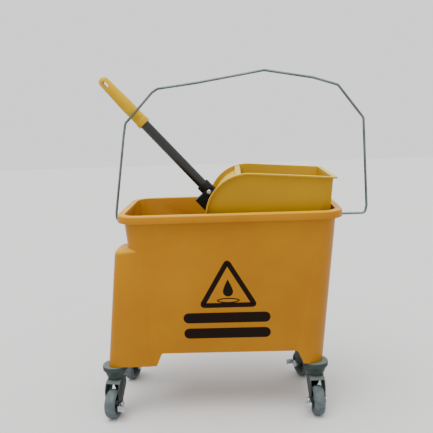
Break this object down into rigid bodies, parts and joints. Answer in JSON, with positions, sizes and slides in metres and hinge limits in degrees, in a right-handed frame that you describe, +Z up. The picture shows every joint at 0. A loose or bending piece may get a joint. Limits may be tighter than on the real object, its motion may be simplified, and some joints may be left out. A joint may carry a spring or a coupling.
{
  "type": "mop bucket with wringer",
  "caption": "Wheeled rectangular mop bucket with a swing-up wire bail and a lift-out side-press wringer whose geared plate is driven by a long hand lever.",
  "frame": {"origin": "centre of the bottom face of the bounding box, on the floor under the casters", "axes": "+Z up, +X along the tub towards the wringer end, -Y towards the face with the printed panel"},
  "size_m": [0.5945, 0.27, 0.7414],
  "materials": {
    "tub_plastic": "moulded high-density polyethylene, satin",
    "wringer_plastic": "moulded polypropylene, satin",
    "grip_plastic": "moulded grip, smooth",
    "black_plastic": "moulded black nylon, fine texture",
    "black_tube": "black powder coat on steel tube",
    "zinc_steel": "zinc plated",
    "bail_wire": "galvanised drawn wire",
    "caster_plastic": "moulded grey nylon",
    "caster_tread": "grey thermoplastic rubber tread"
  },
  "bodies": {
    "bucket": {"tub": "tub_plastic", "bail_bracket_left": "zinc_steel", "bail_bracket_right": "zinc_steel", "bail_bracket_left_rivet_near": "zinc_steel", "bail_bracket_left_rivet_far": "zinc_steel", "bail_bracket_right_rivet_near": "zinc_steel", "bail_bracket_right_rivet_far": "zinc_steel", "caster_cap_near_left": "caster_plastic", "caster_cap_near_right": "caster_plastic", "caster_cap_far_left": "caster_plastic", "caster_cap_far_right": "caster_plastic"},
    "swivel_near_left": {"caster_fork_near_left": "caster_plastic", "caster_axle_near_left": "zinc_steel"},
    "wheel_near_left": {"caster_core_near_left": "caster_plastic", "caster_tyre_near_left": "caster_tread"},
    "brake_near_left": {"caster_brake_near_left": "zinc_steel"},
    "swivel_near_right": {"caster_fork_near_right": "caster_plastic", "caster_axle_near_right": "zinc_steel"},
    "wheel_near_right": {"caster_core_near_right": "caster_plastic", "caster_tyre_near_right": "caster_tread"},
    "brake_near_right": {"caster_brake_near_right": "zinc_steel"},
    "swivel_far_left": {"caster_fork_far_left": "caster_plastic", "caster_axle_far_left": "zinc_steel"},
    "wheel_far_left": {"caster_core_far_left": "caster_plastic", "caster_tyre_far_left": "caster_tread"},
    "brake_far_left": {"caster_brake_far_left": "zinc_steel"},
    "swivel_far_right": {"caster_fork_far_right": "caster_plastic", "caster_axle_far_right": "zinc_steel"},
    "wheel_far_right": {"caster_core_far_right": "caster_plastic", "caster_tyre_far_right": "caster_tread"},
    "brake_far_right": {"caster_brake_far_right": "zinc_steel"},
    "wringer": {"wringer_shell": "wringer_plastic", "wringer_hood": "wringer_plastic", "hood_screw_near": "zinc_steel", "hood_screw_far": "zinc_steel", "lever_bush_near": "black_plastic", "lever_bush_far": "black_plastic", "plate_bush_near": "black_plastic", "plate_bush_far": "black_plastic"},
    "lever": {"lever_yoke": "black_plastic", "lever_tube": "black_tube", "grip": "grip_plastic", "yoke_bolt": "zinc_steel", "yoke_nut": "zinc_steel", "lever_shaft": "zinc_steel", "lever_clip_near": "zinc_steel", "lever_clip_far": "zinc_steel", "drive_gear_near": "black_plastic", "drive_gear_far": "black_plastic"},
    "press": {"press_plate": "wringer_plastic", "plate_shaft": "zinc_steel", "plate_clip_near": "zinc_steel", "plate_clip_far": "zinc_steel", "plate_gear_near": "black_plastic", "plate_gear_far": "black_plastic"},
    "bail": {"bail": "bail_wire"}
  },
  "joints": [
    {"name": "swivel_near_left", "type": "hinge", "parent": "bucket", "child": "swivel_near_left", "pos_m": [-0.26977, -0.076, 0.0825], "axis": [0, 0, 1], "continuous": true},
    {"name": "wheel_spin_near_left", "type": "hinge", "parent": "swivel_near_left", "child": "wheel_near_left", "pos_m": [-0.27377, -0.09865, 0.0315], "axis": [-0.9848, 0.1736, 0], "continuous": true},
    {"name": "brake_near_left", "type": "hinge", "parent": "swivel_near_left", "child": "brake_near_left", "pos_m": [-0.27377, -0.09865, 0.0315], "axis": [0.9848, -0.1736, 0], "range_deg": [0, 18]},
    {"name": "swivel_near_right", "type": "hinge", "parent": "bucket", "child": "swivel_near_right", "pos_m": [0.16986, -0.076, 0.0825], "axis": [0, 0, 1], "continuous": true},
    {"name": "wheel_spin_near_right", "type": "hinge", "parent": "swivel_near_right", "child": "wheel_near_right", "pos_m": [0.17146, -0.09894, 0.0315], "axis": [-0.9976, -0.0698, 0], "continuous": true},
    {"name": "brake_near_right", "type": "hinge", "parent": "swivel_near_right", "child": "brake_near_right", "pos_m": [0.17146, -0.09894, 0.0315], "axis": [0.9976, 0.0698, 0], "range_deg": [0, 18]},
    {"name": "swivel_far_left", "type": "hinge", "parent": "bucket", "child": "swivel_far_left", "pos_m": [-0.26977, 0.076, 0.0825], "axis": [0, 0, 1], "continuous": true},
    {"name": "wheel_spin_far_left", "type": "hinge", "parent": "swivel_far_left", "child": "wheel_far_left", "pos_m": [-0.26382, 0.09822, 0.0315], "axis": [0.9659, -0.2588, 0], "continuous": true},
    {"name": "brake_far_left", "type": "hinge", "parent": "swivel_far_left", "child": "brake_far_left", "pos_m": [-0.26382, 0.09822, 0.0315], "axis": [-0.9659, 0.2588, 0], "range_deg": [0, 18]},
    {"name": "swivel_far_right", "type": "hinge", "parent": "bucket", "child": "swivel_far_right", "pos_m": [0.16986, 0.076, 0.0825], "axis": [0, 0, 1], "continuous": true},
    {"name": "wheel_spin_far_right", "type": "hinge", "parent": "swivel_far_right", "child": "wheel_far_right", "pos_m": [0.16014, 0.09685, 0.0315], "axis": [0.9063, 0.4226, 0], "continuous": true},
    {"name": "brake_far_right", "type": "hinge", "parent": "swivel_far_right", "child": "brake_far_right", "pos_m": [0.16014, 0.09685, 0.0315], "axis": [-0.9063, -0.4226, 0], "range_deg": [0, 18]},
    {"name": "wringer_lift", "type": "slide", "parent": "bucket", "child": "wringer", "axis": [0, 0, 1], "range_m": [0, 0.16]},
    {"name": "lever_pull", "type": "hinge", "parent": "wringer", "child": "lever", "pos_m": [-0.02998, 0, 0.43], "axis": [0, -1, 0], "range_deg": [-10, 40]},
    {"name": "plate_press", "type": "hinge", "parent": "wringer", "child": "press", "pos_m": [-0.01644, 0, 0.38708], "axis": [0, -1, 0], "range_deg": [-50, 12.5]},
    {"name": "bail_swing", "type": "hinge", "parent": "bucket", "child": "bail", "pos_m": [-0.00797, 0, 0.423], "axis": [1, 0, 0], "range_deg": [0, 112]}
  ],
  "couplings": [
    {"joint": "plate_press", "follows": "lever_pull", "ratio": -1.25}
  ]
}
